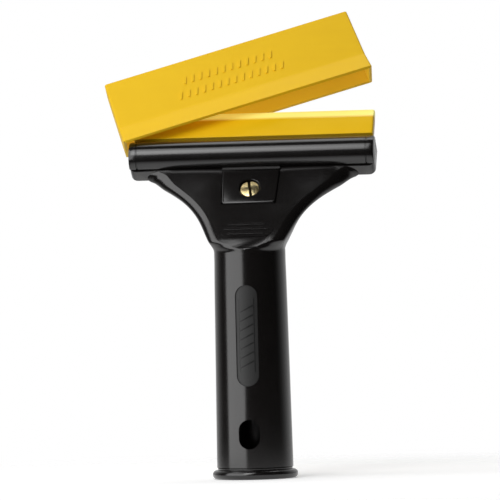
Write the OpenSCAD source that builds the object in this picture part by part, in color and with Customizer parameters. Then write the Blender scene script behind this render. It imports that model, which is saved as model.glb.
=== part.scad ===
// Window scraper: a moulded T-handle with a screwed clamp plate, a steel blade in a
// slip-on edge guard, and a deep safety cap. Sizes in millimetres, +Z up, blade end up.
// The origin is the centre of the pole socket's mouth. The blade lies across X.
// The head's own frame: x across the blade, y up the blade, z out of the clamping face.

/* [Barrel] */
// Height of the straight handle barrel, from the mouth to the foot of the head
barrel_h = 100; // [80:1:140]
// Outer diameter of the barrel at its top
barrel_top_d = 31.1; // [30:0.1:40]
// Outer diameter of the barrel just above the mouth ring
barrel_foot_d = 33.3; // [32:0.1:42]
// Diameter of the bead that runs round the mouth
ring_d = 37.3; // [36:0.1:46]
// Height of the mouth bead
ring_h = 4; // [3:0.1:6]
// Diameter of the pole socket
socket_d = 26; // [20:0.1:27]
// Depth of the straight part of the pole socket
socket_depth = 88; // [40:1:88]
// Width of the catch slot in the front of the socket wall
slot_w = 9.2; // [5:0.1:12]
// Height of the catch slot
slot_h = 12.8; // [8:0.1:20]
// Height of the catch slot's centre above the mouth
slot_z = 19.6; // [16:0.1:40]
// Width of the sunk panel on the front of the barrel
panel_w = 9.7; // [6:0.1:12]
// Height of the sunk panel
panel_h = 44; // [20:1:48]
// Height of the sunk panel's centre
panel_z = 62.4; // [56:0.1:66]
// Depth of the sunk panel
panel_depth = 0.5; // [0.2:0.1:1]

/* [Head] */
// Angle that the blade leans back from the barrel's axis
head_lean = 38; // [30:1:42]
// Distance up the clamping face from the barrel's front to the middle of the jaw
head_reach = 52; // [46:1:64]
// Distance that the jaw reaches past each end of the blade
jaw_over = 3.4; // [2.8:0.1:6]
// Height of the jaw above its middle line
jaw_up = 8; // [7.5:0.1:9]
// Height of the jaw below its middle line
jaw_down = 7.6; // [7:0.1:10]
// Thickness of the head behind the clamping face
head_t = 7; // [6:0.1:9]
// Corner radius of the jaw
jaw_corner_r = 3; // [1:0.1:4]
// Half the width of the flat face at its foot, where the neck leaves the barrel
neck_foot = 13.5; // [11:0.1:15]

/* [Clamp] */
// Radius of the half-round clamp bar
bar_r = 6.8; // [5:0.1:7.4]
// Radius at the upper corners of the clamp bar
bar_corner_r = 2.2; // [1:0.1:3]
// Width of the clamp plate's tongue where it leaves the bar
tongue_w = 25.6; // [22:0.1:34]
// Width of the tongue at its lower end
tongue_tip_w = 23.6; // [20:0.1:32]
// Distance from the bar's middle line down to the end of the tongue
tongue_reach = 26.9; // [25:0.1:32]
// Thickness of the tongue
tongue_t = 2.9; // [2.6:0.1:3.4]
// Distance from the bar's middle line down to the screw
screw_drop = 18.6; // [15:0.1:20]
// Diameter of the screw's head
screw_head_d = 8.6; // [7:0.1:10]
// Thickness of the screw's head
screw_head_t = 1.5; // [1.2:0.1:1.6]
// Diameter of the screw's shank
screw_d = 4.8; // [4:0.1:5.6]
// Length of the screw under its head
screw_l = 7; // [6:0.1:7.2]
// Distance that the clamp plate lifts in one turn of the screw
clamp_travel = 0.8; // [0.5:0.1:1]
// Outer diameter of the threaded insert
insert_d = 7.4; // [6.8:0.1:8]
// Length of the threaded insert
insert_l = 6; // [5:0.1:6.2]

/* [Blade and guard] */
// Length of the blade's cutting edge
blade_w = 101.6; // [85:0.1:125]
// Height of the blade
blade_h = 26; // [22:0.1:28]
// Thickness of the blade
blade_t = 0.6; // [0.4:0.1:1]
// Distance that the blade reaches below the middle of the jaw
blade_tail = 5.5; // [5:0.1:6]
// Diameter of the two pegs that locate the blade
peg_d = 3; // [2:0.1:4]
// Distance between the pegs
peg_pitch = 60; // [40:1:76]
// Distance that the edge guard reaches past each end of the blade
guard_over = 2.2; // [1.5:0.1:2.6]
// Thickness of the edge guard
guard_t = 5; // [4:0.1:5.6]
// Height of the lip along the guard's mouth
guard_lip_h = 1.2; // [0.8:0.1:2]
// Thickness of the guard over the blade's edge
guard_cover = 2.6; // [1.5:0.1:4]
// Height of the guard's tapered tip
guard_tip_h = 5.4; // [4:0.1:7]
// Thickness of the guard's tip
guard_tip_t = 2.2; // [1.8:0.1:3]
// Distance that the lip along the guard's mouth stands proud
guard_lip = 0.3; // [0.2:0.1:0.5]

/* [Safety cap] */
// Height of the cap
cap_h = 38.2; // [30:0.1:44]
// Height of the flared skirt along the cap's front
skirt_h = 11; // [8:0.1:12]
// Distance that the skirt flares forwards
skirt_flare = 3.9; // [3:0.1:5]
// Distance that each end of the cap widens towards its mouth
cap_draft = 0.8; // [0.4:0.1:1.2]
// Thickness of the cap's wall
cap_wall = 1.2; // [1:0.1:1.6]
// Height by which the cap's back wall stops short of its mouth
cap_back_short = 5.6; // [2:0.1:8]
// Distance that the cap's back wall slopes in towards its top
cap_back_slope = 4.6; // [3:0.1:5]
// Angle that the cap is lifted to, about a point past the jaw's left end
cap_tilt = 20; // [0:0.1:30]
// Distance of that point past the end of the jaw
lift_past = 2.8; // [2.4:0.1:9]
// Height of that point above the mouth of the seated cap
lift_up = 3; // [1.5:0.1:5]

/* [Clearances] */
// Side clearance round a loose piece
gap = 0.2; // [0.1:0.05:0.4]
// Radial clearance of the screw in the plate and in its insert
screw_gap = 0.08; // [0.02:0.01:0.1]
// Room between the blade's tail and the clamp plate's tongue
tail_gap = 0.3; // [0.1:0.05:0.6]
// Room between the cap's walls and what the cap covers
cap_gap = 0.4; // [0.3:0.1:1]
// Room at each end between the jaw and the mouth of the seated cap
cap_end_gap = 1.9; // [0.8:0.1:2]
// Height between the jaw and the edge guard above it
guard_gap = 0.4; // [0.2:0.1:1]

/* [Hidden] */
$fn = 96;
eps = 0.01;
far = 200;
barrel_top_r = barrel_top_d / 2;
barrel_foot_r = barrel_foot_d / 2;
// The clamping face cuts the barrel's front at barrel_h and leans back from there.
head_y = -barrel_top_r + head_reach * sin(head_lean);
head_z = barrel_h + head_reach * cos(head_lean);
// The barrel runs up behind the head until its back line meets the head's back face.
back_meet = (barrel_top_r - head_y - head_t * cos(head_lean)) / sin(head_lean);
boss_z = head_z + back_meet * cos(head_lean) - head_t * sin(head_lean);
jaw_w = blade_w + 2 * jaw_over;
jaw_half = jaw_w / 2;
guard_w = blade_w + 2 * guard_over;
// The neck's outline: its round foot, two pulls that shape its sweep, and its shoulder.
foot_h = 6;
foot_pull = [4, 2.5];
neck_pull_low = [5.3, 4];
neck_pull_high = [24.5, 18];
shoulder_x = jaw_half - 10;
shoulder = [2.5, 1.4];
pocket_depth = tongue_t - blade_t + gap;
screw_seat = blade_t - screw_head_t - gap;
peg_h = blade_t + 1;
notch_h = blade_tail + peg_d;
guard_low = jaw_up + guard_gap;
guard_mid = blade_t / 2;
guard_high = blade_h - blade_tail + guard_cover;
slit_t = blade_t + 0.3;
// The seated cap's mouth clears the round of the bar, even with the clamp let out.
cap_front = guard_mid + guard_t / 2 + guard_lip + cap_gap + cap_wall + clamp_travel;
cap_back = head_t + cap_gap + cap_wall;
flare_l = sqrt(skirt_h * skirt_h + skirt_flare * skirt_flare);
skirt_in = cap_front + skirt_flare - cap_wall - blade_t - clamp_travel;
cap_low = ((bar_r + cap_gap) * flare_l - skirt_in * skirt_h) / skirt_flare;
pivot_x = -jaw_half - lift_past;
pivot_y = cap_low + lift_up;

// A cubic curve through four points, as a list of n + 1 points.
function curve(a, b, c, d, n) =
  [for (i = [0:n]) let (t = i / n, s = 1 - t)
    a * s * s * s + b * 3 * s * s * t + c * 3 * s * t * t + d * t * t * t];
// Part of a circle about c, from angle a to angle b.
function arc(c, r, a, b, n = 8) =
  [for (i = [0:n]) let (w = a + (b - a) * i / n) [c[0] + r * cos(w), c[1] + r * sin(w)]];
function flip(points) = [for (i = [len(points) - 1:-1:0]) [-points[i][0], points[i][1]]];

// Moves a shape from the head's own frame onto the handle.
module on_head() {
  translate([0, head_y, head_z]) rotate([90 - head_lean, 0, 0]) children();
}

// A slab drawn in the head's own frame, from z = low to z = high.
module slab(low, high) {
  translate([0, 0, low]) linear_extrude(high - low) children();
}

// A row of two pegs, or of what clears them.
module at_pegs(y) {
  for (side = [-1, 1]) translate([side * peg_pitch / 2, y, 0]) children();
}

// An upright rounded slot's prism, running out through the barrel's front.
module front_slot(w, h, z, depth) {
  translate([0, -depth, z]) rotate([90, 0, 0]) linear_extrude(far) {
    square([w, h - w], center = true);
    for (side = [-1, 1]) translate([0, side * (h - w) / 2]) circle(d = w);
  }
}

// Half of the head's outline, on +x: the round foot, the neck's sweep, the jaw's end.
function head_side() = concat(
  curve([0, 1 - head_reach], [neck_foot / 3, 1 - head_reach],
        [neck_foot, foot_h - head_reach] - foot_pull, [neck_foot, foot_h - head_reach], 6),
  curve([neck_foot, foot_h - head_reach], [neck_foot, foot_h - head_reach] + neck_pull_low,
        [shoulder_x, -jaw_down - shoulder[1]] - neck_pull_high,
        [shoulder_x, -jaw_down - shoulder[1]], 20),
  [[shoulder_x + shoulder[0], -jaw_down]],
  arc([jaw_half - jaw_corner_r, -jaw_down + jaw_corner_r], jaw_corner_r, -90, 0),
  arc([jaw_half - jaw_corner_r, jaw_up - jaw_corner_r], jaw_corner_r, 0, 90));

module head_outline() {
  polygon(concat(head_side(), flip(head_side())));
}

// Outer form of the barrel: bead at the mouth, a shallow groove, then a slow taper.
module barrel() {
  bead = ring_h / 2;
  groove = 0.4;
  groove_h = 1.1;
  rotate_extrude() polygon(concat(
    [[0, 0]],
    arc([ring_d / 2 - bead, bead], bead, -90, 90),
    [[barrel_foot_r - groove, ring_h], [barrel_foot_r - groove, ring_h + groove_h - groove],
     [barrel_foot_r, ring_h + groove_h], [barrel_top_r, barrel_h], [barrel_top_r, boss_z],
     [0, boss_z]]));
}

// The tongue's outline, or with some room round it the pocket's. It runs up under the bar.
module pocket_outline(room) {
  top = -jaw_down + 4;
  polygon([[-tongue_w / 2 - room, top], [tongue_w / 2 + room, top],
           [tongue_w / 2 + room, -bar_r], [tongue_tip_w / 2 + room, -tongue_reach - room],
           [-tongue_tip_w / 2 - room, -tongue_reach - room], [-tongue_w / 2 - room, -bar_r]]);
}

module handle() {
  color("#17171a") {
    difference() {
      union() {
        barrel();
        on_head() slab(-head_t, 0) head_outline();
      }
      // the flat of the head, cut across the front of the barrel
      on_head() slab(0, far) square(far * 2, center = true);
      // pole socket with a coned end
      translate([0, 0, -eps]) cylinder(d = socket_d, h = socket_depth + eps);
      translate([0, 0, socket_depth - eps])
        cylinder(d1 = socket_d, d2 = socket_d / 3, h = socket_d / 3);
      front_slot(slot_w, slot_h, slot_z, socket_d / 4);
      // sunk panel with a floor that follows the barrel
      difference() {
        front_slot(panel_w, panel_h, panel_z, socket_d / 2);
        cylinder(r1 = barrel_foot_r - panel_depth, r2 = barrel_top_r - panel_depth,
                 h = barrel_h);
      }
      // pocket for the tongue, and the insert's hole behind it
      on_head() slab(-pocket_depth, far) pocket_outline(gap);
      on_head() translate([0, -screw_drop, -pocket_depth - insert_l])
        cylinder(d = insert_d, h = far);
    }
    on_head() at_pegs(0) translate([0, 0, -1]) cylinder(d = peg_d, h = peg_h + 1);
  }
}

module threaded_insert() {
  color("#b58a3a") on_head() translate([0, -screw_drop, -pocket_depth - insert_l])
    difference() {
      cylinder(d = insert_d, h = insert_l);
      translate([0, 0, -eps]) cylinder(d = screw_d + 2 * screw_gap, h = far);
    }
}

module bar_form() {
  intersection() {
    translate([-jaw_half, 0, blade_t]) rotate([0, 90, 0]) cylinder(r = bar_r, h = jaw_w);
    slab(blade_t, far) polygon(concat(
      [[-jaw_half, -bar_r], [jaw_half, -bar_r]],
      arc([jaw_half - bar_corner_r, bar_r - bar_corner_r], bar_corner_r, 0, 90),
      arc([-jaw_half + bar_corner_r, bar_r - bar_corner_r], bar_corner_r, 90, 180)));
  }
}

module clamp_plate() {
  root_drop = 3.4;
  root_t = 1;
  tongue_top = -blade_tail - tail_gap;
  color("#17171a") on_head() difference() {
    union() {
      bar_form();
      slab(blade_t - tongue_t, blade_t) intersection() {
        pocket_outline(0);
        translate([0, tongue_top - far / 2]) square(far, center = true);
      }
      // the root that joins the tongue to the bar, over the blade's face where they meet
      slab(blade_t - eps, blade_t + root_t) intersection() {
        pocket_outline(0);
        translate([-far / 2, -bar_r - root_drop]) square([far, bar_r + root_drop + tongue_top]);
      }
      slab(blade_t, blade_t + root_t) intersection() {
        pocket_outline(0);
        translate([-far / 2, tongue_top - root_t]) square([far, 2 * root_t]);
      }
    }
    at_pegs(0) cylinder(d = peg_d + 4 * gap, h = peg_h + gap);
    translate([0, -screw_drop, screw_seat]) cylinder(d = screw_head_d + 4 * gap, h = far);
    translate([0, -screw_drop, -far / 2]) cylinder(d = screw_d + 2 * screw_gap, h = far);
  }
}

module clamp_screw() {
  slot_width = 1.1;
  slot_depth = 0.8;
  slot_turn = 100;
  rim = 0.4;
  color("#c9a24b") on_head() translate([0, -screw_drop, screw_seat]) difference() {
    union() {
      cylinder(d = screw_head_d, h = screw_head_t - rim);
      translate([0, 0, screw_head_t - rim])
        cylinder(d1 = screw_head_d, d2 = screw_head_d - 2 * rim, h = rim);
      translate([0, 0, -screw_l]) cylinder(d = screw_d, h = screw_l + eps);
    }
    rotate([0, 0, slot_turn]) translate([0, 0, screw_head_t - slot_depth + far / 2])
      cube([far, slot_width, far], center = true);
  }
}

module blade() {
  top = blade_h - blade_tail;
  bevel_h = 2;
  edge_t = 0.06;
  color("#c4c7cb") on_head() difference() {
    translate([-blade_w / 2, 0, 0]) rotate([90, 0, 90]) linear_extrude(blade_w)
      polygon([[-blade_tail, 0], [top - bevel_h, 0], [top, (blade_t - edge_t) / 2],
               [top, (blade_t + edge_t) / 2], [top - bevel_h, blade_t],
               [-blade_tail, blade_t]]);
    at_pegs(0) translate([0, 0, -far / 2]) cylinder(d = peg_d + 2 * gap, h = far);
    at_pegs(-notch_h / 2) cube([peg_d + 2 * gap, notch_h, far], center = true);
  }
}

// The guard's section on its front side, from the mouth to the tip: lip, face, taper.
function guard_front() = [
  [guard_low, guard_t / 2 + guard_lip], [guard_low + guard_lip_h, guard_t / 2 + guard_lip],
  [guard_low + guard_lip_h, guard_t / 2], [guard_high - guard_tip_h, guard_t / 2],
  [guard_high, guard_tip_t / 2]];
function guard_back() =
  [for (i = [len(guard_front()) - 1:-1:0]) [guard_front()[i][0], -guard_front()[i][1]]];

module edge_guard() {
  slit_top = blade_h - blade_tail + gap;
  color("#e6b820") on_head() difference() {
    translate([-guard_w / 2, 0, guard_mid]) rotate([90, 0, 90]) linear_extrude(guard_w)
      polygon(concat(guard_front(), guard_back()));
    translate([0, slit_top / 2, guard_mid])
      cube([blade_w + 4 * gap, slit_top, slit_t], center = true);
  }
}

// Distance of the skirt's outer face from the clamping face, at height y above the mouth.
function skirt_z(y) = cap_front + skirt_flare * (skirt_h - y) / skirt_h;

// The cap's section, y up the blade and z to the front, a wall's thickness inside its skin.
module cap_section(wall, front_low, back_low) {
  polygon([[front_low, skirt_z(front_low) - wall], [skirt_h, cap_front - wall],
           [cap_h - wall, cap_front - wall], [cap_h - wall, cap_back_slope - cap_back + wall],
           [skirt_h, wall - cap_back], [back_low, wall - cap_back]]);
}

// The cap's front outline, widening to its mouth and going on straight below it.
module cap_face(wall) {
  mouth_x = jaw_half + cap_end_gap + cap_wall - wall;
  top_x = mouth_x - cap_draft;
  polygon([[-mouth_x, -2], [mouth_x, -2], [mouth_x, 0], [top_x, cap_h], [-top_x, cap_h],
           [-mouth_x, 0]]);
}

module cap_form(wall, front_low, back_low) {
  intersection() {
    translate([-far / 2, 0, 0]) rotate([90, 0, 90]) linear_extrude(far)
      cap_section(wall, front_low, back_low);
    slab(-far, far) cap_face(wall);
  }
}

module safety_cap() {
  color("#efc02a") on_head() translate([pivot_x, pivot_y, 0]) rotate([0, 0, cap_tilt])
    translate([-pivot_x, -pivot_y + cap_low, 0]) difference() {
      cap_form(0, 0, cap_back_short);
      cap_form(cap_wall, -1, -1);
    }
}

handle();
threaded_insert();
clamp_plate();
clamp_screw();
blade();
edge_guard();
safety_cap();
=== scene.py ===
# %% [markdown]
# # A window scraper, piece by piece
# The real tool is a black moulded T-handle with a screwed clamp bar across its head. The bar
# holds a steel blade, the blade's edge sits in a slip-on yellow guard, and a deep yellow cap
# goes over the lot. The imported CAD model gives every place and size, so it is loaded first.

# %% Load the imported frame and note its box
import math
import bmesh
import bpy
from mathutils import Matrix, Vector


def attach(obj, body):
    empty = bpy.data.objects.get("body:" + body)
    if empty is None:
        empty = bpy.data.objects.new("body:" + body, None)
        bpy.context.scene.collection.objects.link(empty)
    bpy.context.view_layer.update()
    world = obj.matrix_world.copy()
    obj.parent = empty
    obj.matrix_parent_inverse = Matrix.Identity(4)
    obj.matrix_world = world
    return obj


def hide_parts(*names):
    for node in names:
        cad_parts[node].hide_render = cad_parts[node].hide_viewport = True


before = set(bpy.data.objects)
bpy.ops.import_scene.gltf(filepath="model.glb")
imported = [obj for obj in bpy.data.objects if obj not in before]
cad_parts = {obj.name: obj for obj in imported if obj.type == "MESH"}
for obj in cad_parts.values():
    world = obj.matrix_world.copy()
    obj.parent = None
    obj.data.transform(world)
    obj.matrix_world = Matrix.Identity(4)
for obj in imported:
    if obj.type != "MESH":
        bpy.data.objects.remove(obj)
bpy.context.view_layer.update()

print("nodes:", sorted(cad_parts))

# %% [markdown]
# ## One frame for the head
# The head leans back from the barrel, and everything on it is easier to draw flat: x across
# the blade, y up the blade, z out of the clamping face. One matrix lays such a drawing on the
# handle. Sizes are in millimetres while a piece is shaped and become metres at the end.

# %% The head's own frame, in millimetres
MM = 0.001
LEAN = math.radians(38)
FACE_FOOT_Y, FACE_FOOT_Z = -15.55, 100.0
REACH = 52.0
UP = Vector((0, math.sin(LEAN), math.cos(LEAN)))
OUT = Vector((0, -math.cos(LEAN), math.sin(LEAN)))
HEAD = Vector((0, FACE_FOOT_Y, FACE_FOOT_Z)) + UP * REACH
TO_HEAD = Matrix.Translation(HEAD) @ Matrix((Vector((1, 0, 0)), UP, OUT)).transposed().to_4x4()


def on_head(x, y, z):
    """A point of the head's own frame, as a point of the whole tool."""
    return TO_HEAD @ Vector((x, y, z))


print("middle of the jaw:", tuple(round(c, 2) for c in HEAD))

# %% [markdown]
# ## Writing finishes as sums
# A moulded or turned surface is never one flat value: its gloss wanders a little and its skin
# has a faint grain. Such patterns are short sums of noises. They could be wired by hand, node by
# node, but a sum is easier to read. So the small class below wraps one socket: + and * on it add
# Math nodes, and one method makes any other node.

# %% A wire: one socket of a finish, with arithmetic
class Wire:
    """One output socket. Sums and products of wires add Math nodes to the same finish."""

    def __init__(self, tree, socket):
        self.tree, self.socket = tree, socket

    def plug(self, value, target):
        """Links a wire to a socket, or sets the socket to a plain value."""
        if isinstance(value, Wire):
            self.tree.links.new(value.socket, target)
        else:
            target.default_value = value

    def node(self, kind, settings=None, values=None, out=0):
        """Any other node: its settings first, then the values or links of its sockets."""
        made = self.tree.nodes.new(kind)
        for name, setting in (settings or {}).items():
            if name == "stops":
                ends = made.color_ramp.elements
                while len(ends) < len(setting):
                    ends.new(0.5)
                for stop, (position, colour) in zip(ends, setting):
                    stop.position, stop.color = position, (*colour, 1)
            else:
                setattr(made, name, setting)
        for name, value in (values or {}).items():
            self.plug(value, made.inputs[name])
        return Wire(self.tree, made.outputs[out] if made.outputs else None)

    def maths(self, operation, first, second):
        return self.node("ShaderNodeMath", {"operation": operation}, {0: first, 1: second})

    def __add__(self, other):
        return self.maths("ADD", self, other)

    def __mul__(self, other):
        return self.maths("MULTIPLY", self, other)

    __radd__ = __add__
    __rmul__ = __mul__


# %% [markdown]
# ## The start and the end of every finish
# Each finish starts from Object coordinates, which sit still on a piece when it moves, and
# ends in one Principled shader. Values that are the same all over go straight on its sockets.
# Image textures could give the same looks, but a pattern made of noise has no seams and needs
# no unwrapping.

# %% Start and end a finish
def start_finish(name):
    made = bpy.data.materials.new(name)
    made.use_nodes = True
    made.node_tree.nodes.clear()
    place = made.node_tree.nodes.new("ShaderNodeTexCoord").outputs["Object"]
    return made, Wire(made.node_tree, place)


def end_finish(made, place, **values):
    shader = place.node("ShaderNodeBsdfPrincipled", None,
                        {name.replace("_", " "): value for name, value in values.items()})
    place.node("ShaderNodeOutputMaterial", None, {"Surface": shader})
    print("finish:", made.name, "with", len(made.node_tree.nodes), "nodes")
    return made


# %% Patterns and masks that the finishes share
def noise(place, scale, detail=3.0, stretch=(1, 1, 1)):
    """Soft noise from 0 to 1. A small stretch draws it out along that axis."""
    spread = place.node("ShaderNodeMapping", {"vector_type": "POINT"},
                        {"Vector": place, "Scale": stretch})
    return place.node("ShaderNodeTexNoise", None,
                      {"Vector": spread, "Scale": scale, "Detail": detail, "Roughness": 0.55})


def head_place(place, x=0.0, y=0.0):
    """The place in the head's own frame, in metres from a point of the clamping face."""
    return place.node("ShaderNodeMapping", {"vector_type": "TEXTURE"},
                      {"Vector": place, "Location": on_head(x, y, 0) * MM,
                       "Rotation": (math.radians(90) - LEAN, 0, 0)})


def part_of(place, axis):
    """The X, Y or Z of a place or a direction."""
    return place.node("ShaderNodeSeparateXYZ", None, {"Vector": place}, out=axis)


def fade(value, start, end):
    """A mask: 0 where a value is at start, 1 where it is at end, and soft between."""
    return value.node("ShaderNodeMapRange", {"interpolation_type": "SMOOTHSTEP"},
                      {"Value": value, "From Min": start, "From Max": end})


def bump(place, height, strength, distance):
    return place.node("ShaderNodeBump", None,
                      {"Height": height, "Strength": strength, "Distance": distance})


def blend(place, amount, first, second):
    """Mixes two colours. Each is three numbers or a wire."""
    first, second = (colour if isinstance(colour, Wire) else (*colour, 1)
                     for colour in (first, second))
    return place.node("ShaderNodeMix", {"data_type": "RGBA"},
                      {0: amount, 6: first, 7: second}, out=2)


# %% [markdown]
# ## Black moulded plastic
# The handle and the clamp are polished ABS: nearly black, with a sharp gloss. Handling leaves
# fine rubbed patches where the gloss is a little weaker, and the mould leaves a slow waviness
# that makes reflections swim slightly. The sunk panel has a satin skin from a textured insert.

# %% Gloss black and satin black
def black_plastic(name, colour, dull, wander, wave, ior):
    made, place = start_finish(name)
    patches = noise(place, 55, 4)
    rubs = noise(place, 420, 5, (1, 1, 0.12))
    grain = noise(place, 2600, 2)
    slow = noise(place, 38, 1)
    return end_finish(
        made, place,
        Base_Color=blend(place, patches, [c * 0.8 for c in colour], [c * 1.25 for c in colour]),
        Roughness=dull + wander * patches + wander * 0.5 * rubs,
        Normal=bump(place, slow + 0.001 * grain, wave, 0.0004),
        IOR=ior)


# The values are: colour, roughness, how far it wanders, strength of the waviness, and IOR.
GLOSS_BLACK = black_plastic("gloss_black", (0.0050, 0.0042, 0.0040), 0.13, 0.07, 0.05, 1.62)
SATIN_BLACK = black_plastic("satin_black", (0.016, 0.016, 0.016), 0.40, 0.12, 0.20, 1.50)
LINE_BLACK = black_plastic("line_black", (0.003, 0.003, 0.003), 0.30, 0.08, 0.05, 1.45)

# %% [markdown]
# ## Yellow plastics
# The cap is thin polypropylene with a satin face, and the guard is a brighter, glossier strip.
# Both have a faint mottle from the pigment and fine scuffs that run along the blade. The cap's
# inside is painted a lighter yellow with a painted glow, in place of the light that reaches it and
# shines through the thin wall; the guard's tapered tip is painted paler with a painted glow, a
# painted highlight. Subsurface scattering could do part of it, but a weak Emission is cheaper and
# exports as it is.

# %% Cap yellow and guard yellow
# Where the guard's thin tip gets its painted highlight and painted glow: it starts at the first
# height and is full at the second.
PAINTED_TIP_FROM, PAINTED_TIP_FULL = 0.0176, 0.0200  # where the guard grows thin, in metres up the head


def yellow_plastic(name, deep, light, dull, coat, painted_glow=0.0, all_over=False):
    """Satin yellow between two colours. A painted glow is all over, or only on the guard's tip,
    which is also painted paler as a painted highlight.
    """
    made, place = start_finish(name)
    mottle = noise(place, 70, 4)
    scuffs = noise(place, 260, 6, (0.10, 1, 1))
    grain = noise(place, 3200, 2)
    colour = blend(place, mottle * 0.6 + scuffs * 0.4, deep, light)
    more = {}
    # all_over: a painted glow over the whole piece, Emission used for the cap's inside.
    if all_over:
        more = {"Emission_Color": blend(place, mottle, (0.72, 0.60, 0.06), (0.78, 0.66, 0.08)),
                "Emission_Strength": painted_glow}
    elif painted_glow:
        # Painted highlight: the guard's tip is painted a paler yellow and given a painted glow.
        painted_tip_light = fade(part_of(head_place(place), "Y"), PAINTED_TIP_FROM, PAINTED_TIP_FULL)
        colour = blend(place, painted_tip_light, colour, (1.0, 0.90, 0.24))
        more = {"Emission_Color": blend(place, painted_tip_light, (0, 0, 0), (1.0, 0.93, 0.26)),
                "Emission_Strength": painted_glow}
    return end_finish(
        made, place, Base_Color=colour,
        Roughness=dull + 0.16 * scuffs + 0.08 * mottle,
        Normal=bump(place, 0.5 * scuffs + 0.3 * mottle + 0.02 * grain, 0.06, 0.0003),
        IOR=1.34, Coat_Weight=coat, Coat_Roughness=0.12, **more)


# The values are: a deep and a light yellow, roughness, coat, and painted glow.
CAP_YELLOW = yellow_plastic("cap_yellow", (0.84, 0.50, 0.003), (0.92, 0.58, 0.005), 0.38, 0.0)
# The cap's inside: a lighter yellow than the cap, plus a painted glow, both painted light.
INSIDE_PAINTED_GLOW = yellow_plastic("cap_inside_painted_glow", (0.86, 0.56, 0.010), (0.92, 0.62, 0.015),
                               0.36, 0.0, painted_glow=0.16, all_over=True)
GUARD_YELLOW = yellow_plastic("guard_yellow", (0.87, 0.51, 0.004), (0.94, 0.59, 0.007),
                              0.24, 0.3, painted_glow=0.26)

# %% [markdown]
# ## Steel and brass
# The blade is ground spring steel, with its grinding lines across the edge. The screw and its
# insert are turned brass: fine rings round the screw's axis, warm brown patches where the bare
# metal has begun to tarnish, and painted shade that turns it near black below the clamping face,
# in the slot, round the head and down the hole. A Mapping node turns the pattern onto that
# leaning axis.

# %% Ground steel
def ground_steel():
    made, place = start_finish("ground_steel")
    lines = noise(place, 900, 4, (1, 0.04, 0.04))
    stain = noise(place, 60, 4)
    return end_finish(
        made, place, Metallic=1.0,
        Base_Color=blend(place, lines, (0.21, 0.215, 0.22), (0.33, 0.335, 0.34)),
        Roughness=0.30 + 0.15 * lines + 0.10 * stain,
        Normal=bump(place, lines, 0.15, 0.0002))


STEEL = ground_steel()

# %% Turned brass
SCREW_DROP = 18.6  # from the jaw's middle down to the screw, in millimetres
# Painted shade on the brass: it starts at the first depth below the clamping face and is full at
# the second.
SUNK_SHADE_FROM, SUNK_SHADE_FULL = -0.00005, -0.00035  # metres below the clamping face


def turned_brass():
    made, place = start_finish("turned_brass")
    centred = head_place(place, 0, -SCREW_DROP)
    rings = place.node("ShaderNodeTexWave",
                       {"wave_type": "RINGS", "rings_direction": "Z", "wave_profile": "SIN"},
                       {"Vector": centred, "Scale": 900, "Distortion": 0.6, "Detail": 2.0})
    tarnish = noise(place, 330, 4)
    tarnish_and_shade = place.node("ShaderNodeValToRGB", {"stops": [(0.35, (0.96, 0.82, 0.46)),
                                                       (0.62, (0.86, 0.66, 0.30)),
                                                       (0.85, (0.52, 0.34, 0.13))]},
                      {"Fac": tarnish})
    # Painted shade: the brass turns near black below the clamping face, in the screw's seat, its
    # slot and the insert's hole.
    sunk_shade = fade(part_of(centred, "Z"), SUNK_SHADE_FROM, SUNK_SHADE_FULL)
    tarnish_and_shade = blend(place, sunk_shade, tarnish_and_shade, (0.03, 0.02, 0.008))
    return end_finish(made, place, Metallic=1.0, Base_Color=tarnish_and_shade,
                      Roughness=0.14 + 0.14 * tarnish + 0.06 * rings,
                      Normal=bump(place, rings, 0.12, 0.0002))


BRASS = turned_brass()

# %% [markdown]
# ## Shaping tools
# Most pieces are one closed line that is extruded again and again, as a clay pot is built up
# from coils: each new ring is moved to its own outline. Turned shapes are a profile that is
# spun, and plain ones are a cube with its edges bevelled. The editor's Extrude, Spin and Bevel
# do the same by hand, but as functions they can be called for each piece.

# %% Build up rings, spin a profile, round a block
def build_up(rings):
    """A closed solid: the first outline extruded through all the others."""
    shape = bmesh.new()
    line = [shape.verts.new(point) for point in rings[0]]
    edges = [shape.edges.new((line[i - 1], line[i])) for i in range(len(line))]
    bmesh.ops.holes_fill(shape, edges=edges, sides=0)
    for ring in rings[1:]:
        made = bmesh.ops.extrude_edge_only(shape, edges=edges)["geom"]
        moved = dict(zip(line, [None] * len(line)))
        for edge in shape.edges:
            a, b = edge.verts
            if a in moved and b not in moved and b in made:
                moved[a] = b
            elif b in moved and a not in moved and a in made:
                moved[b] = a
        line = [moved[vert] for vert in line]
        for vert, point in zip(line, ring):
            vert.co = point
        edges = [item for item in made if isinstance(item, bmesh.types.BMEdge)]
    bmesh.ops.holes_fill(shape, edges=edges, sides=0)
    bmesh.ops.recalc_face_normals(shape, faces=shape.faces)
    return shape


def slab(outline, low, high):
    """An outline in the head's plane, extruded from z = low to z = high."""
    return build_up([[Vector((x, y, z)) for x, y in outline] for z in (low, high)])


def spun(profile, steps=96):
    """A solid of revolution about Z, from (radius, height) points that start and end at 0."""
    shape = bmesh.new()
    line = [shape.verts.new((r, 0, z)) for r, z in profile]
    edges = [shape.edges.new(pair) for pair in zip(line, line[1:])]
    bmesh.ops.spin(shape, geom=line + edges, cent=(0, 0, 0), axis=(0, 0, 1),
                   angle=2 * math.pi, steps=steps, use_merge=True)
    bmesh.ops.remove_doubles(shape, verts=shape.verts, dist=0.001)
    bmesh.ops.recalc_face_normals(shape, faces=shape.faces)
    return shape


def round_edges(shape, edges, size, segments=3):
    bmesh.ops.bevel(shape, geom=edges, offset=size, affect="EDGES", segments=segments,
                    profile=0.5, material=-1, clamp_overlap=True)


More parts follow.
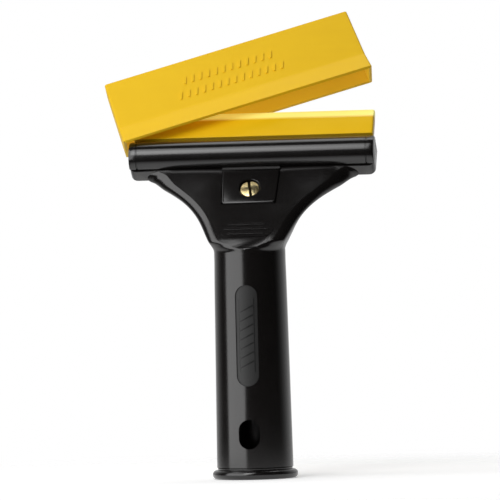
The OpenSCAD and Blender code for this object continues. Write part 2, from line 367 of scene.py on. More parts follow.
def block(low, high, upright=0.0, rim=0.0, segments=5):
    """A block with its upright edges rounded, then the edges round its back."""
    shape = bmesh.new()
    bmesh.ops.create_cube(shape, size=1.0)
    size = [h - l for l, h in zip(low, high)]
    bmesh.ops.scale(shape, vec=size, verts=shape.verts)
    bmesh.ops.translate(shape, vec=[(l + h) / 2 for l, h in zip(low, high)], verts=shape.verts)
    if upright:
        lines = [e for e in shape.edges if abs((e.verts[0].co - e.verts[1].co).z) > 0.5 * size[2]]
        round_edges(shape, lines, upright, segments)
    if rim:
        lines = [e for e in shape.edges if all(abs(v.co.z - low[2]) < 1e-4 for v in e.verts)]
        round_edges(shape, lines, rim)
    return shape


def gather(solids):
    """Many small solids as one shape."""
    whole = bmesh.new()
    for solid in solids:
        spare = bpy.data.meshes.new("spare")
        solid.to_mesh(spare)
        solid.free()
        whole.from_mesh(spare)
        bpy.data.meshes.remove(spare)
    return whole


print("helpers: build_up, slab, spun, round_edges, block, gather")

# %% [markdown]
# ## Joining, cutting and finishing
# A moulding's holes and pockets are made by cores that the plastic flows round. The same is done
# here: a second solid is taken away with the exact Boolean, and bosses are joined on in the same
# way. A finished piece then gets its crisp edges marked, its size in metres, a small bevel that
# catches the light, and its place in a body, so that it moves with the real part.

# %% From shape to finished piece
def as_object(shape, name="blank"):
    mesh = bpy.data.meshes.new(name)
    shape.to_mesh(mesh)
    shape.free()
    made = bpy.data.objects.new(name, mesh)
    bpy.context.scene.collection.objects.link(made)
    return made


def placed(shape, matrix=TO_HEAD):
    """A shape as an object, laid on the head or wherever the matrix puts it."""
    bmesh.ops.transform(shape, matrix=matrix, verts=shape.verts)
    return as_object(shape)


def combine(piece, tool, way):
    """Joins, cuts or keeps the common part of two solids, and throws the tool away."""
    step = piece.modifiers.new("step", "BOOLEAN")
    step.object, step.operation, step.solver = tool, way, "EXACT"
    state = bpy.context.evaluated_depsgraph_get()
    mesh = bpy.data.meshes.new_from_object(piece.evaluated_get(state))
    piece.modifiers.clear()
    piece.data = mesh
    bpy.data.objects.remove(tool)
    return piece


def finish_piece(piece, name, body, finishes, nodes=(), crisp=32, edge=0.12):
    """Clean up, mark the crisp edges, go to metres, and hand the piece to its body.

    Edges sharper than crisp degrees stay crisp; edge is their small bevel, in millimetres.
    """
    shape = bmesh.new()
    shape.from_mesh(piece.data)
    bmesh.ops.remove_doubles(shape, verts=shape.verts, dist=0.004)
    bmesh.ops.dissolve_degenerate(shape, edges=shape.edges, dist=0.004)
    bmesh.ops.recalc_face_normals(shape, faces=shape.faces)
    bmesh.ops.scale(shape, vec=(MM, MM, MM), verts=shape.verts)
    for face in shape.faces:
        face.smooth = True
    for line in shape.edges:
        line.smooth = line.is_manifold and line.calc_face_angle(0) < math.radians(crisp)
    piece.data.materials.clear()
    for finish in finishes:
        piece.data.materials.append(finish)
    shape.to_mesh(piece.data)
    shape.free()
    piece.name = piece.data.name = name
    if edge:
        soft = piece.modifiers.new("soft edges", "BEVEL")
        soft.width, soft.segments, soft.limit_method = edge * MM, 2, "ANGLE"
        soft.angle_limit, soft.harden_normals = math.radians(crisp), True
        soft.use_clamp_overlap = True
    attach(piece, body)
    if nodes:
        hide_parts(*nodes)
    seen = piece.evaluated_get(bpy.context.evaluated_depsgraph_get()).to_mesh()
    print(name, "faces:", len(seen.polygons))
    return piece


# %% [markdown]
# ## The handle's blank
# The handle is one moulding. Its barrel is round and tapers slowly; near the top it turns into
# a flat, wide neck that leans back and sweeps out to the jaw. So the blank is built up from
# rings that start as circles and become rounded slabs, while they tip from level to the lean.
# The flat clamping face is not drawn: it is sliced off afterwards, which leaves the crisp,
# curved crease that the real moulding has where the flat runs out into the round barrel.

# %% The outline of one ring
# Half a ring goes from its front to its back in five zones: the flat, the front edge's round,
# the side, the back edge's round, and the back. Each has a count of points, and the angle in
# degrees that it has reached when the ring is still a circle.
ZONES = ((8, 24), (20, 85), (2, 92), (10, 130), (16, 180))
WING, PROUD = 7.0, 0.4  # the head's thickness, and what is drawn past the face, to be sliced off
SIDE_REACH, SIDE_ROUND = 9.0, 5.4  # the front edge's round: across the face, and in depth
BACK_ROUND, BOSS_HALF = 1.8, 20.0  # the back edge's radius, and the boss's half width
FRONT_ANGLE, TURN_OVER = 1.2, 0.7  # radians: how far round the front goes, and its change-over


def smooth_step(value):
    value = min(1, max(0, value))
    return value * value * (3 - 2 * value)


def slab_point(zone, part, half, thick):
    """A point of half a slab, flat in front and with a soft boss behind: across, and depth."""
    wing = min(WING + PROUD, thick)
    if zone == 0:
        return (half - SIDE_REACH) * part, 0
    if zone == 1:
        turn = math.pi / 2 * part
        return (half - SIDE_REACH * (1 - math.sin(turn)), SIDE_ROUND * (1 - math.cos(turn)))
    if zone == 2:
        return half, SIDE_ROUND + (wing - BACK_ROUND - SIDE_ROUND) * part
    if zone == 3:
        turn = math.pi / 2 * part
        return (half - BACK_ROUND * (1 - math.cos(turn)),
                wing - BACK_ROUND * (1 - math.sin(turn)))
    across = (half - BACK_ROUND) * (1 - part)
    bell = 0.5 + 0.5 * math.cos(math.pi * min(1, across / BOSS_HALF))
    return across, wing + (thick - wing) * bell


def ring(front, back, half, flat_front=0.0, flat_back=0.0):
    """A closed outline between a front and a back point: a circle that can become a slab."""
    depth = back - front
    thick = depth.length
    depth.normalize()
    side, angle = [], 0
    for zone, (count, reached) in enumerate(ZONES):
        for step in range(count):
            part = step / count
            turn = math.radians(angle + (reached - angle) * part)
            flat = flat_front + (flat_back - flat_front) * smooth_step(
                (turn - FRONT_ANGLE) / TURN_OVER)
            x, d = slab_point(zone, part, half, thick)
            side.append((half * math.sin(turn) * (1 - flat) + x * flat,
                         thick / 2 * (1 - math.cos(turn)) * (1 - flat) + d * flat))
        angle = reached
    side.append((0, thick))
    whole = side + [(-x, d) for x, d in side[-2:0:-1]]
    return [Vector((x, 0, 0)) + front + depth * d for x, d in whole]


print("points in a ring:", 2 * sum(count for count, reached in ZONES))

# %% [markdown]
# ## The neck's sides
# From the front, the neck's sides sweep out like a vase. A few half widths are read off at even
# steps, and a smooth curve is passed through them, as a ship's plank is bent round its frames.

# %% The neck's half width at each share of its height
NECK = ((0, 15.6), (0.05, 16.2), (0.1, 17.1), (0.2, 18.8), (0.3, 20.4), (0.4, 22.2),
        (0.5, 24.5), (0.6, 27.4), (0.7, 31.0), (0.8, 35.3), (0.9, 39.6), (1.0, 42.6))


def between(table, place):
    """A smooth reading between the points of a table."""
    for i in range(len(table) - 1):
        (a, low), (b, high) = table[i], table[i + 1]
        if place <= b:
            before = table[max(i - 1, 0)]
            after = table[min(i + 2, len(table) - 1)]
            rise_low = (high - before[1]) / (b - before[0])
            rise_high = (after[1] - low) / (after[0] - a)
            t, span = (place - a) / (b - a), b - a
            return ((2 * t ** 3 - 3 * t * t + 1) * low + (t ** 3 - 2 * t * t + t) * span * rise_low
                    + (3 * t * t - 2 * t ** 3) * high + (t ** 3 - t * t) * span * rise_high)
    return table[-1][1]


print("neck, half way up:", round(between(NECK, 0.5), 2), "mm each side")

# %% [markdown]
# ## The rings, from the mouth to the jaw
# The mouth has a rounded bead, and a fine groove parts it from the barrel. A dozen rings close
# together lead up to the neck and begin to flatten in front, so that the slice leaves a clean
# curved crease. From there each ring tips a little further, until it lies square to the head.

# %% Building the blank
def level_ring(radius, z):
    return ring(Vector((0, -radius, z)), Vector((0, radius, z)), radius)


BEAD, RING_R, FOOT_R, TOP_R = 2.0, 18.65, 16.65, 15.55  # bead, mouth ring, barrel's two ends
GROOVE, RING_TOP = 0.4, 5.1  # how deep the groove is, and where the barrel starts above it
NECK_TOP, BOSS_Z = -10.445, 128.436  # where the neck ends: up the face, and behind in height
LEAD, NECK_STEPS = 12, 64  # rings before the crease, and rings up the neck
FRONT_RISE = 0.79  # how fast a ring's front climbs while it is still on the barrel
SHOULDER = ((-9.6, 43.5), (-8.9, 44.6), (-8.1, 46.2), (-7.4, 47.0), (-3, 47.0), (6, 47.0))


def barrel_r(z):
    """The barrel's radius at height z: it tapers slowly."""
    return FOOT_R + (TOP_R - FOOT_R) * (z - RING_TOP) / (FACE_FOOT_Z - RING_TOP)


rings = [level_ring(RING_R - BEAD + BEAD * math.cos(math.radians(a)),
                    BEAD + BEAD * math.sin(math.radians(a))) for a in range(-90, 76, 15)]
rings += [level_ring(FOOT_R - cut, z)
          for cut, z in ((0, 4.0), (GROOVE, 4.25), (GROOVE, 4.65), (0, RING_TOP))]
rings += [level_ring(barrel_r(z), z) for z in (5.6, 20, 40, 60, 75, 85)]
for step in range(-LEAD, NECK_STEPS + 1):
    share = step / NECK_STEPS
    y = -REACH + (REACH + NECK_TOP) * share
    if step > 0:
        front, half = on_head(0, y, PROUD), between(NECK, share)
    else:
        front, half = Vector((0, -TOP_R, FACE_FOOT_Z + FRONT_RISE * (y + REACH))), TOP_R
    back = Vector((0, TOP_R, FACE_FOOT_Z + (BOSS_Z - FACE_FOOT_Z) * share))
    # The front is flat from an eighth of the way up the neck, the back from just over half way.
    rings.append(ring(front, back, half, smooth_step((share + 0.05) / 0.17),
                      smooth_step(share / 0.55)))
for y, half in SHOULDER:
    rings.append(ring(on_head(0, y, PROUD), on_head(0, y, -WING), half, 1.0, 1.0))
blank = as_object(build_up(rings))
print("rings:", len(rings), "of", len(rings[0]), "points")

# %% [markdown]
# ## The jaw, and the slice that makes the clamping face
# The jaw is a flat bar across the neck's top. It is a block with its four corners bevelled
# round, joined to the blank. One bisecting plane then slices the whole front flat, and the
# opening that it leaves is filled. A Boolean with a big box would do the same, but the plane is
# quicker and leaves one clean face.

# %% Jaw and clamping face
JAW_HALF, JAW_UP, JAW_DOWN = 54.2, 8.0, 7.6
jaw = block((-JAW_HALF, -JAW_DOWN, -WING), (JAW_HALF, JAW_UP, PROUD), 3.0, 1.2, 6)
combine(blank, placed(jaw), "UNION")
shape = bmesh.new()
shape.from_mesh(blank.data)
cut = bmesh.ops.bisect_plane(shape, geom=shape.verts[:] + shape.edges[:] + shape.faces[:],
                             plane_co=HEAD, plane_no=OUT, clear_outer=True)["geom_cut"]
bmesh.ops.holes_fill(shape, edges=[e for e in cut if isinstance(e, bmesh.types.BMEdge)], sides=0)
shape.to_mesh(blank.data)
shape.free()
print("faces after the slice:", len(blank.data.polygons))

# %% [markdown]
# ## Openings in the handle
# A pole goes up the barrel, and its sprung catch snaps into the upright slot in front. Above
# the slot is a long sunk panel whose floor follows the barrel. Each is cut by a solid of its
# own shape.

# %% Socket, slot and panel
def stadium_tool(width, height, centre, depth_at, outer=25.0, columns=18):
    """An upright slot with round ends that stops at a depth given for each x."""
    rings = []
    for i in range(columns + 1):
        x = -width / 2 * math.cos(math.pi * i / columns)
        rise = max(height / 2 - width / 2 + math.sqrt(max(width * width / 4 - x * x, 0)), 0.02)
        low, high = centre - rise, centre + rise
        rings.append([Vector((x, -outer, low)), Vector((x, -outer, high)),
                      Vector((x, depth_at(x, high), high)), Vector((x, depth_at(x, low), low))])
    return build_up(rings)


PANEL_W, PANEL_H, PANEL_Z, PANEL_DEEP = 9.7, 44.0, 62.4, 0.5
SLOT_W, SLOT_H, SLOT_Z, SLOT_END = 9.2, 12.8, 19.6, -6.5
SOCKET_R, SOCKET_DEPTH, SOCKET_TIP, LEAD_IN = 13.0, 88.0, 8.7, 0.5


def panel_floor(x, z):
    """How far forward the panel's floor is at x and z: a little inside the barrel's round."""
    return -math.sqrt((barrel_r(z) - PANEL_DEEP) ** 2 - x * x)


socket = spun([(0, -1), (SOCKET_R + LEAD_IN, -1), (SOCKET_R + LEAD_IN, 0), (SOCKET_R, LEAD_IN),
               (SOCKET_R, SOCKET_DEPTH), (SOCKET_R / 3, SOCKET_DEPTH + SOCKET_TIP),
               (0, SOCKET_DEPTH + SOCKET_TIP)])
slot = stadium_tool(SLOT_W, SLOT_H, SLOT_Z, lambda x, z: SLOT_END)
panel_hollow = stadium_tool(PANEL_W, PANEL_H, PANEL_Z, panel_floor)
for core in (socket, slot, panel_hollow):
    combine(blank, as_object(core), "DIFFERENCE")
print("handle faces so far:", len(blank.data.polygons))

# %% [markdown]
# ## Pocket, screw hole and pegs
# The clamp's tongue drops into a shallow pocket in the head, a little wider than itself. Its
# screw goes into a hole behind, and two pegs stand up through the blade's notches, so that the
# blade can't slip sideways.

# %% Pocket, screw hole and pegs
PEG_X = 30
AT_SCREW = Matrix.Translation((0, -SCREW_DROP, 0))


def tongue_outline(room, chamfer=0.0):
    """The tongue's outline with room round it; the lower corners may be cut off."""
    top, tip, low, high = 12.8 + room, 11.8 + room, -26.9 - room, -3.6
    right = [(tip - chamfer, low), (tip, low + chamfer), (top, -6.8), (top, high)]
    if not chamfer:
        right = right[1:]
    return right + [(-x, y) for x, y in reversed(right)]


pocket = slab(tongue_outline(0.2), -2.5, 5)
combine(blank, placed(pocket), "DIFFERENCE")
hole = spun([(0, -8.5), (3.7, -8.5), (3.7, 5), (0, 5)], 48)
combine(blank, placed(hole, TO_HEAD @ AT_SCREW), "DIFFERENCE")
for side in (-PEG_X, PEG_X):
    peg = spun([(0, -1), (1.5, -1), (1.5, 1.35), (1.25, 1.6), (0, 1.6)], 32)
    combine(blank, placed(peg, TO_HEAD @ Matrix.Translation((side, 0, 0))), "UNION")
print("handle faces so far:", len(blank.data.polygons))

# %% [markdown]
# ## The raised pad
# Low on the clamping face is a shallow raised pad with three rows of fine marks. The marks
# here are plain ribs. The pad is a thin slab with round ends, joined to the face.

# %% Pad and ribs
def stadium(width, height, centre, steps=10):
    """An outline with round ends, about x = 0 and y = centre."""
    r = height / 2
    right = [(width / 2 - r + r * math.sin(math.pi * i / steps),
              centre - r * math.cos(math.pi * i / steps)) for i in range(steps + 1)]
    return right + [(-x, 2 * centre - y) for x, y in right]


PAD_Y, PAD_W, PAD_H, PAD_RISE = -41.0, 23.5, 8.6, 0.22
RIB_TOP, RIB_HALF, RIB_STEP = 0.55, 0.5, 2.5
pad = slab(stadium(PAD_W, PAD_H, PAD_Y), -0.3, PAD_RISE)
combine(blank, placed(pad), "UNION")
handle = finish_piece(blank, "handle_moulding", "handle",
                      [GLOSS_BLACK, SATIN_BLACK], ["handle"])

for row, half in enumerate((8.0, 9.6, 8.0)):
    y = PAD_Y + RIB_STEP * (1 - row)
    rib = block((-half, y - RIB_HALF, 0.1), (half, y + RIB_HALF, RIB_TOP), 0.4, 0.0, 4)
    finish_piece(placed(rib), f"pad_rib_{row + 1}", "handle",
                 [GLOSS_BLACK], edge=0.08)

# %% [markdown]
# ## The sunk panel's floor
# The floor gets the satin skin: the faces that face forwards and lie half a millimetre inside
# the barrel are given the second finish. Over them go fine dark lines, a border and a row of
# slanted strokes, each a thin strip that bends with the barrel.

# %% Satin floor
satin = 0
for face in handle.data.polygons:
    at = face.center / MM
    inside = abs(at.x) < PANEL_W / 2 and abs(at.z - PANEL_Z) < PANEL_H / 2 and at.y < -12
    if inside and abs(math.hypot(at.x, at.y) - (barrel_r(at.z) - PANEL_DEEP)) < 0.12:
        face.material_index, satin = 1, satin + 1
print("satin faces:", satin)

# %% Fine lines over it
STROKE_HALF, BORDER_X = 2.9, 3.3


def line_on_floor(start, end, width, high=0.05, steps=8):
    """A thin strip from one (x, z) to another that lies on the panel's floor."""
    (x0, z0), (x1, z1) = start, end
    along = Vector((x1 - x0, 0, z1 - z0)).normalized()
    across = Vector((-along.z, 0, along.x)) * width / 2
    rings = []
    for i in range(steps + 1):
        x, z = x0 + (x1 - x0) * i / steps, z0 + (z1 - z0) * i / steps
        corners = []
        for side, lift in ((-1, -0.1), (1, -0.1), (1, high), (-1, high)):
            px, pz = x + across.x * side, z + across.z * side
            corners.append(Vector((px, panel_floor(px, pz) - lift, pz)))
        rings.append(corners)
    return build_up(rings)


lines = [((-STROKE_HALF, z - 1.5), (STROKE_HALF, z + 1.5), 0.55) for z in range(50, 78, 4)]
lines += [((x, 46.5), (x, 78.5), 0.3) for x in (-BORDER_X, BORDER_X)]
strips = gather([line_on_floor(*line) for line in lines])
finish_piece(as_object(strips), "panel_lines", "handle", [LINE_BLACK], edge=0)

# %% [markdown]
# ## The clamp plate
# The clamp bar is half round, with a fine groove near each end, and a flat tongue runs down
# from its middle into the head's pocket. The bar is built up from half-round rings along its
# length; where the rings shrink there is a groove. The tongue is a slab with a rounded front rim.

# %% Half-round bar
BAR_R, BLADE_T, BAR_GROOVE_R = 6.8, 0.6, 6.5
# One end of the bar, as (place along it, radius): a soft end, then the fine groove.
BAR_END = [(54.2, 6.15), (54.05, 6.5), (53.75, 6.7), (53.3, BAR_R), (51.15, BAR_R),
           (50.95, BAR_GROOVE_R), (50.65, BAR_GROOVE_R), (50.45, BAR_R)]
CORNER_X, CORNER_Y, SNIP_X, SNIP_Y = 54.4, 4.6, 2.4, 2.25  # the rounded corners at its top


def bar_ring(x, radius, steps=28):
    """A half circle, flat side on the blade."""
    return [Vector((x, radius * math.cos(math.pi * i / steps),
                    BLADE_T + radius * math.sin(math.pi * i / steps))) for i in range(steps + 1)]


stations = [(-x, r) for x, r in BAR_END] + [(-25, BAR_R), (0, BAR_R), (25, BAR_R)]
stations += [(x, r) for x, r in reversed(BAR_END)]
bar = as_object(build_up([bar_ring(x, r) for x, r in stations]))
corner = [(CORNER_X, -8), (CORNER_X, CORNER_Y)]
corner += [(CORNER_X - SNIP_X + SNIP_X * math.cos(a), CORNER_Y + SNIP_Y * math.sin(a))
           for a in [math.pi / 2 * i / 8 for i in range(1, 9)]]
bar_front = corner + [(-x, y) for x, y in reversed(corner)]
combine(bar, as_object(slab(bar_front, 0, 9)), "INTERSECT")
print("bar faces:", len(bar.data.polygons))

# %% Tongue, with its root under the bar
TONGUE_T, TONGUE_TOP, ROOT_HALF, TONGUE_RIM = 2.9, -5.8, 12.7, 0.5
tongue = slab(tongue_outline(0.0, 1.0), BLADE_T - TONGUE_T, BLADE_T)
front_rim = [e for e in tongue.edges if all(abs(v.co.z - BLADE_T) < 1e-3 for v in e.verts)]
round_edges(tongue, front_rim, TONGUE_RIM)
bmesh.ops.bisect_plane(tongue, geom=tongue.verts[:] + tongue.edges[:] + tongue.faces[:],
                       plane_co=(0, TONGUE_TOP, 0), plane_no=(0, 1, 0), clear_outer=True)
bmesh.ops.holes_fill(tongue, edges=[e for e in tongue.edges if e.is_boundary], sides=0)
tongue = as_object(tongue)
root = block((-ROOT_HALF, TONGUE_TOP - 3, 0.3), (ROOT_HALF, TONGUE_TOP, 1.0), 0.5, 0.0, 3)
lap = block((-ROOT_HALF, TONGUE_TOP - 1, 0.62), (ROOT_HALF, TONGUE_TOP + 1, 1.6))
combine(tongue, as_object(root), "UNION")
combine(tongue, as_object(lap), "UNION")
combine(bar, tongue, "UNION")
print("bar and tongue faces:", len(bar.data.polygons))

# %% [markdown]
# ## Seat, bore and dimples
# The screw's head sits in a round seat with a chamfered mouth, and its shank passes through a
# bore. Behind the bar two dimples make room for the pegs. All are spun cores again.

# %% Seat, bore and dimples
SCREW_SUNK, BORE_R = 1.1, 2.48
seat = spun([(0, -SCREW_SUNK), (4.7, -SCREW_SUNK), (4.7, 0.45), (5.05, 0.8), (5.05, 9), (0, 9)], 64)
combine(bar, placed(seat, AT_SCREW), "DIFFERENCE")
bore = spun([(0, -9), (BORE_R, -9), (BORE_R, 0), (0, 0)], 48)
combine(bar, placed(bore, AT_SCREW), "DIFFERENCE")
for side in (-PEG_X, PEG_X):
    dimple = spun([(0, -1), (1.9, -1), (1.9, 1.8), (0, 1.8)], 32)
    combine(bar, placed(dimple, Matrix.Translation((side, 0, 0))), "DIFFERENCE")
bar.data.transform(TO_HEAD)
finish_piece(bar, "clamp_moulding", "clamp_plate", [GLOSS_BLACK],
             ["clamp_plate"], edge=0.15)

# %% [markdown]
# ## The screw
# One brass screw pulls the clamp down. Its head is turned with a soft rim and has one straight
# slot. It is a spun profile, and the slot is cut by a block, turned as the real one stands.

# %% Slotted brass screw
SCREW_TURN = math.radians(100)
shank = [(0, -7), (2.1, -7), (2.4, -6.7), (2.4, 0)]
head = [(4.05, 0), (4.3, 0.2), (4.3, 0.75), (4.14, 1.0), (3.7, 1.16), (2.6, 1.34), (1.3, 1.46),
        (0, 1.5)]
screw = as_object(spun(shank + head, 72))
slot = block((-6, -0.6, 0.35), (6, 0.6, 4))
bmesh.ops.rotate(slot, cent=(0, 0, 0), matrix=Matrix.Rotation(SCREW_TURN, 3, "Z"),
                 verts=slot.verts)
combine(screw, as_object(slot), "DIFFERENCE")
screw.data.transform(TO_HEAD @ AT_SCREW @ Matrix.Translation((0, 0, -SCREW_SUNK)))
finish_piece(screw, "slotted_screw", "clamp_screw", [BRASS], ["clamp_screw"],
             edge=0.10)

# %% [markdown]
# ## Blade and insert
# The blade and the threaded insert are right as the CAD model has them, so they keep their
# meshes and only get a finish.

# %% Finishes for the carried-over pieces
for node, finish in (("blade", STEEL), ("threaded_insert", BRASS)):
    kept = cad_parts[node]
    kept.data.materials.clear()
    kept.data.materials.append(finish)
    print(node, "is", finish.name)

# %% [markdown]
# ## The edge guard
# A strip of yellow plastic is pushed over the blade's edge. It has a lip along its mouth, flat
# sides, and a tapered tip that catches the light; its finish also paints the tip paler, with a
# painted glow, as a painted highlight. It is one outline extruded along the blade; the last rings
# shrink a little, which rounds its two ends. Inside is room for the blade.

# %% Guard
GUARD_FOOT, GUARD_MID = 8.4, 0.3  # where it starts up the head, and the blade's middle plane
# (height, half thickness) up the guard: the lip, the flat side, the taper and the tip.
GUARD_SIDE = [(GUARD_FOOT, 2.8), (9.6, 2.8), (9.75, 2.5), (17.6, 2.5), (18.3, 2.38), (22.6, 1.25),
              (23.0, 0.95), (23.1, 0.6)]
GUARD_END = [(53.0, 0.75), (52.85, 0.4), (52.6, 0.16), (52.2, 0.04), (51.7, 0)]


def guard_ring(x, inset):
    """The guard's outline at x, drawn in by an inset: more across its thickness than up it."""
    loop = GUARD_SIDE + [(y, -z) for y, z in reversed(GUARD_SIDE)]
    return [Vector((x, GUARD_FOOT + (y - GUARD_FOOT) * (1 - inset / 15),
                    GUARD_MID + z * (1 - inset / 3))) for y, z in loop]


stations = [(-x, i) for x, i in GUARD_END] + [(0, 0)] + [(x, i) for x, i in reversed(GUARD_END)]
guard = as_object(build_up([guard_ring(x, i) for x, i in stations]))
hollow = block((-51.2, 0, -0.15), (51.2, 20.7, 0.75))
combine(guard, as_object(hollow), "DIFFERENCE")
guard.data.transform(TO_HEAD)
finish_piece(guard, "guard_strip", "edge_guard", [GUARD_YELLOW],
             ["edge_guard"], edge=0.12)

# %% [markdown]
# ## The safety cap
# The cap is a deep, thin box: a closed top, a flat front with a flared skirt, a back wall that
# slopes in and stops short of the mouth, and two ends. The outside is built up from rounded
# rectangles, in the cap's own heights, from 0 at the mouth. It could be a box with one face
# deleted, but rings give the flare, the slope and the round top in one go.

# %% The cap's outside
CAP_H, SKIRT_H, CAP_FRONT, FLARE, CAP_BACK, SLOPE = 38.2, 11.0, 5.5, 3.9, 8.6, 4.6
MOUTH_HALF, DRAFT, CAP_ROUND = 57.3, 0.8, 0.8
CAP_HEIGHTS = [0, 3, 6.5, 10.2, 10.8, 11.2, 11.8, 15, 20, 25, 30, 35.7]


def cap_ring(y, half, front, back, r, steps=5):
    """A rectangle with round corners at height y."""
    middles = ((half - r, front - r, 0), (-(half - r), front - r, 90),
               (-(half - r), back + r, 180), (half - r, back + r, 270))
    points = []
    for cx, cz, start in middles:
        for i in range(steps + 1):
            a = math.radians(start + 90 * i / steps)
            points.append(Vector((cx + r * math.cos(a), y, cz + r * math.sin(a))))
    return points


def cap_front(y):
    """The flat front, flared towards the mouth."""
    return CAP_FRONT + FLARE * max(0, SKIRT_H - y) / SKIRT_H


def cap_back(y):
    """The back wall, which slopes in above the skirt."""
    return -CAP_BACK + SLOPE * max(0, y - SKIRT_H) / (CAP_H - SKIRT_H)


def tuck(y):
    """How far the outside draws in at height y, to round the closed top."""
    over = max(0, y - (CAP_H - CAP_ROUND)) / CAP_ROUND
    return CAP_ROUND - CAP_ROUND * math.sqrt(max(0, 1 - over ** 2))


heights = CAP_HEIGHTS + [CAP_H - CAP_ROUND + CAP_ROUND * math.sin(math.radians(a))
                         for a in (20, 40, 60, 80, 90)]
cap = build_up([cap_ring(y, MOUTH_HALF - DRAFT * y / CAP_H - tuck(y), cap_front(y) - tuck(y),
                         cap_back(y) + tuck(y), CAP_ROUND) for y in heights])
print("faces of the cap's outside:", len(cap.faces))

# %% [markdown]
# ## Mouth, wall and inside
# A slanted plane cuts the mouth open, so that the back wall ends higher than the front. Then
# the Solidify operator gives the shell its wall, and the faces that look inwards get the
# second yellow: a lighter yellow with a painted glow, painted light inside the thin cap.

# %% Mouth, wall and inside
BACK_SHORT, CAP_WALL = 5.6, 1.2
slant = Vector((0, CAP_FRONT + FLARE + CAP_BACK, BACK_SHORT))
bmesh.ops.bisect_plane(cap, geom=cap.verts[:] + cap.edges[:] + cap.faces[:],
                       plane_co=(0, 0.01, CAP_FRONT + FLARE), plane_no=slant, clear_inner=True)
print("mouth edges:", sum(e.is_boundary for e in cap.edges))
outside = [f.calc_center_median() for f in cap.faces]
bmesh.ops.solidify(cap, geom=cap.faces[:], thickness=CAP_WALL)
bmesh.ops.recalc_face_normals(cap, faces=cap.faces)
hollow_middle = Vector((0, 18, -1))
inner = 0
for f in cap.faces:
    centre = f.calc_center_median()
    near = min(outside, key=lambda c: (c - centre).length)
    # An inner face is about a wall away from the outside, and looks to the hollow's middle.
    a_wall_away = CAP_WALL / 2 < (near - centre).length < 2.0
    if a_wall_away and f.normal.dot(hollow_middle - centre) > 0:
        f.material_index, inner = 1, inner + 1
print("faces inside the cap:", inner)

# %% [markdown]
# ## Where the cap hangs
# Lifted, the cap still rests on the jaw at one end. So it is laid on the head as if seated, and
# then turned about that end.

# %% The cap on the head, tilted about its end
TILT, PLAY = 20.0, 0.4  # degrees, and the room kept between the seated skirt and the bar
SEAT_LOW = ((BAR_R + PLAY) * math.hypot(SKIRT_H, FLARE) - BAR_R * SKIRT_H) / FLARE
PIVOT = Vector((-57.0, SEAT_LOW + 3.0, 0))
cap_place = (TO_HEAD @ Matrix.Translation(PIVOT) @ Matrix.Rotation(math.radians(TILT), 4, "Z")
             @ Matrix.Translation(Vector((0, SEAT_LOW, 0)) - PIVOT))
finish_piece(placed(cap, cap_place), "cap_shell", "safety_cap",
             [CAP_YELLOW, INSIDE_PAINTED_GLOW], ["safety_cap"], crisp=28, edge=0.15)

# %% [markdown]
# ## Faint marks on the cap
# The cap's face carries two rows of low raised marks from the mould. Here they are plain
# slanted strokes, a third of a millimetre high, in the same yellow. One stroke is a bevelled
# block, and a loop sets it out along each row.

# %% Raised strokes
STROKE_STEP, STROKE_SLANT = 3.6, -0.3  # millimetres along the row, and radians
STROKE_LOW, STROKE_HIGH = Vector((-0.5, -2.1, 5.2)), Vector((0.5, 2.1, 5.85))
STROKE_ROWS = ((26.4, -22, 12), (18.6, -26, 14))  # height, first stroke's place, and count


def cap_stroke(x, y):
    """One stroke on the cap's front, in the cap's own place before it is laid on the head."""
    stroke = block(STROKE_LOW, STROKE_HIGH, 0.35, 0.0, 3)
    bmesh.ops.rotate(stroke, cent=(0, 0, 0), matrix=Matrix.Rotation(STROKE_SLANT, 3, "Z"),
                     verts=stroke.verts)
    bmesh.ops.translate(stroke, vec=(x, y, 0), verts=stroke.verts)
    return stroke


strokes = gather([cap_stroke(first + STROKE_STEP * i, y)
                  for y, first, count in STROKE_ROWS for i in range(count)])
finish_piece(placed(strokes, cap_place), "cap_marks", "safety_cap", [CAP_YELLOW],
             edge=0)

# %% [markdown]
# ## The floor
# The tool stands on a pale disc. Its edge would show against the white surrounding, so the disc
# fades out: its Alpha falls from 1 near the tool to 0 well inside the rim.

# %% Floor
FLOOR_R, FLOOR_FULL, FLOOR_GONE = 0.45, 0.08, 0.28  # metres from the middle
floor_shape = bmesh.new()
bmesh.ops.create_circle(floor_shape, cap_ends=True, radius=FLOOR_R, segments=96)
floor = as_object(floor_shape, "floor")
pale, place = start_finish("pale_floor")
far_out = place.node("ShaderNodeVectorMath", {"operation": "LENGTH"}, {0: place}, out=1)
pale_grey = blend(place, noise(place, 2, 2), (0.90, 0.90, 0.90), (0.93, 0.93, 0.93))
floor.data.materials.append(end_finish(
    pale, place, Base_Color=pale_grey, Roughness=0.9, Emission_Color=(1, 1, 1, 1),
    Emission_Strength=0.35, Alpha=fade(far_out, FLOOR_GONE, FLOOR_FULL)))

# %% [markdown]
# ## The room and its lights
# Gloss black shows little but what it reflects. So the room is dark in front and light behind,
# though a camera that looks straight at it sees plain white. Three soft panels then draw the
# forms: a large one at the left, a narrow one high in front, and one high behind.

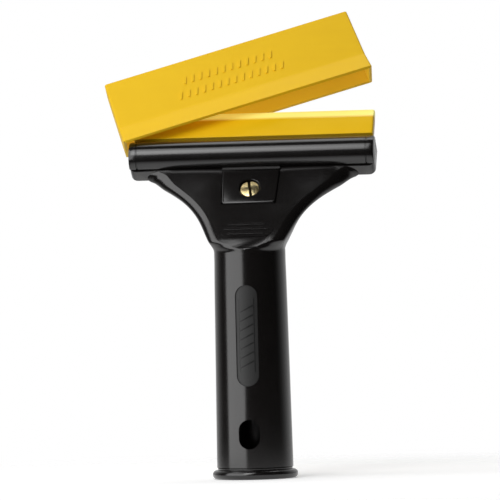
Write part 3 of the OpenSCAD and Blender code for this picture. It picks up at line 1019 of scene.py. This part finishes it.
# %% A room that is dark in front
ROOM_DARK, ROOM_RISE = 0.02, 0.62  # the light from the front, and what the back adds to it
world = bpy.data.worlds.new("white_room")
world.use_nodes = True
room = Wire(world.node_tree, None)
direction = room.node("ShaderNodeTexCoord")  # in a world, the first output is a direction
behind = fade(part_of(direction, "Y"), 0.05, 0.95)
seen_by_camera = room.node("ShaderNodeLightPath")  # the first output is 1 for a camera ray
strength = room.maths("MAXIMUM", behind * ROOM_RISE + ROOM_DARK, seen_by_camera)
sky = world.node_tree.nodes["Background"]
sky.inputs["Color"].default_value = (1, 1, 1, 1)
room.plug(strength, sky.inputs["Strength"])
bpy.context.scene.world = world
bpy.context.scene.view_settings.view_transform = "Standard"
print("room nodes:", len(world.node_tree.nodes))

# %% Soft panels
AIM = Vector((0, 0, 0.10))


def soft_panel(name, azimuth, elevation, distance, width, height, radiance):
    """A panel that faces the tool, from angles in degrees and sizes in metres."""
    lamp = bpy.data.lights.new(name, "AREA")
    lamp.shape, lamp.size, lamp.size_y = "RECTANGLE", width, height
    lamp.energy = radiance * math.pi * width * height
    made = bpy.data.objects.new(name, lamp)
    bpy.context.scene.collection.objects.link(made)
    a, e = math.radians(azimuth), math.radians(elevation)
    away = Vector((math.sin(a) * math.cos(e), -math.cos(a) * math.cos(e), math.sin(e)))
    made.location = AIM + away * distance
    made.rotation_euler = away.to_track_quat("Z", "Y").to_euler()
    print(name, "gives", round(lamp.energy, 2), "W")


soft_panel("left_softbox", -47, 20, 1.3, 1.6, 1.6, 2.3)
soft_panel("high_softbox", -14, 42, 1.0, 0.4, 0.74, 2.9)
soft_panel("back_softbox", 190, 74, 1.2, 1.4, 0.5, 1.9)

# %% [markdown]
# ## The camera
# A long lens from over two metres keeps upright edges nearly parallel. It looks from a little
# to the right of straight in front, level with the barrel's top, and is rolled by a degree and
# a half.

# %% Camera
YAW, ROLL, DISTANCE, LENS, SENSOR = 8.2, 1.5, 2.3, 380, 36
LOOK_AT = Vector((0.00014, 0, 0.0995))
lens = bpy.data.cameras.new("camera")
lens.lens, lens.sensor_width, lens.clip_end = LENS, SENSOR, 100
camera = bpy.data.objects.new("camera", lens)
bpy.context.scene.collection.objects.link(camera)
away = Vector((math.sin(math.radians(YAW)), -math.cos(math.radians(YAW)), 0))
camera.location = LOOK_AT + away * DISTANCE
roll = Matrix.Rotation(math.radians(-ROLL), 3, "Z").to_quaternion()
camera.rotation_euler = (away.to_track_quat("Z", "Y") @ roll).to_euler()
bpy.context.scene.camera = camera
print("camera at:", tuple(round(c, 3) for c in camera.location))
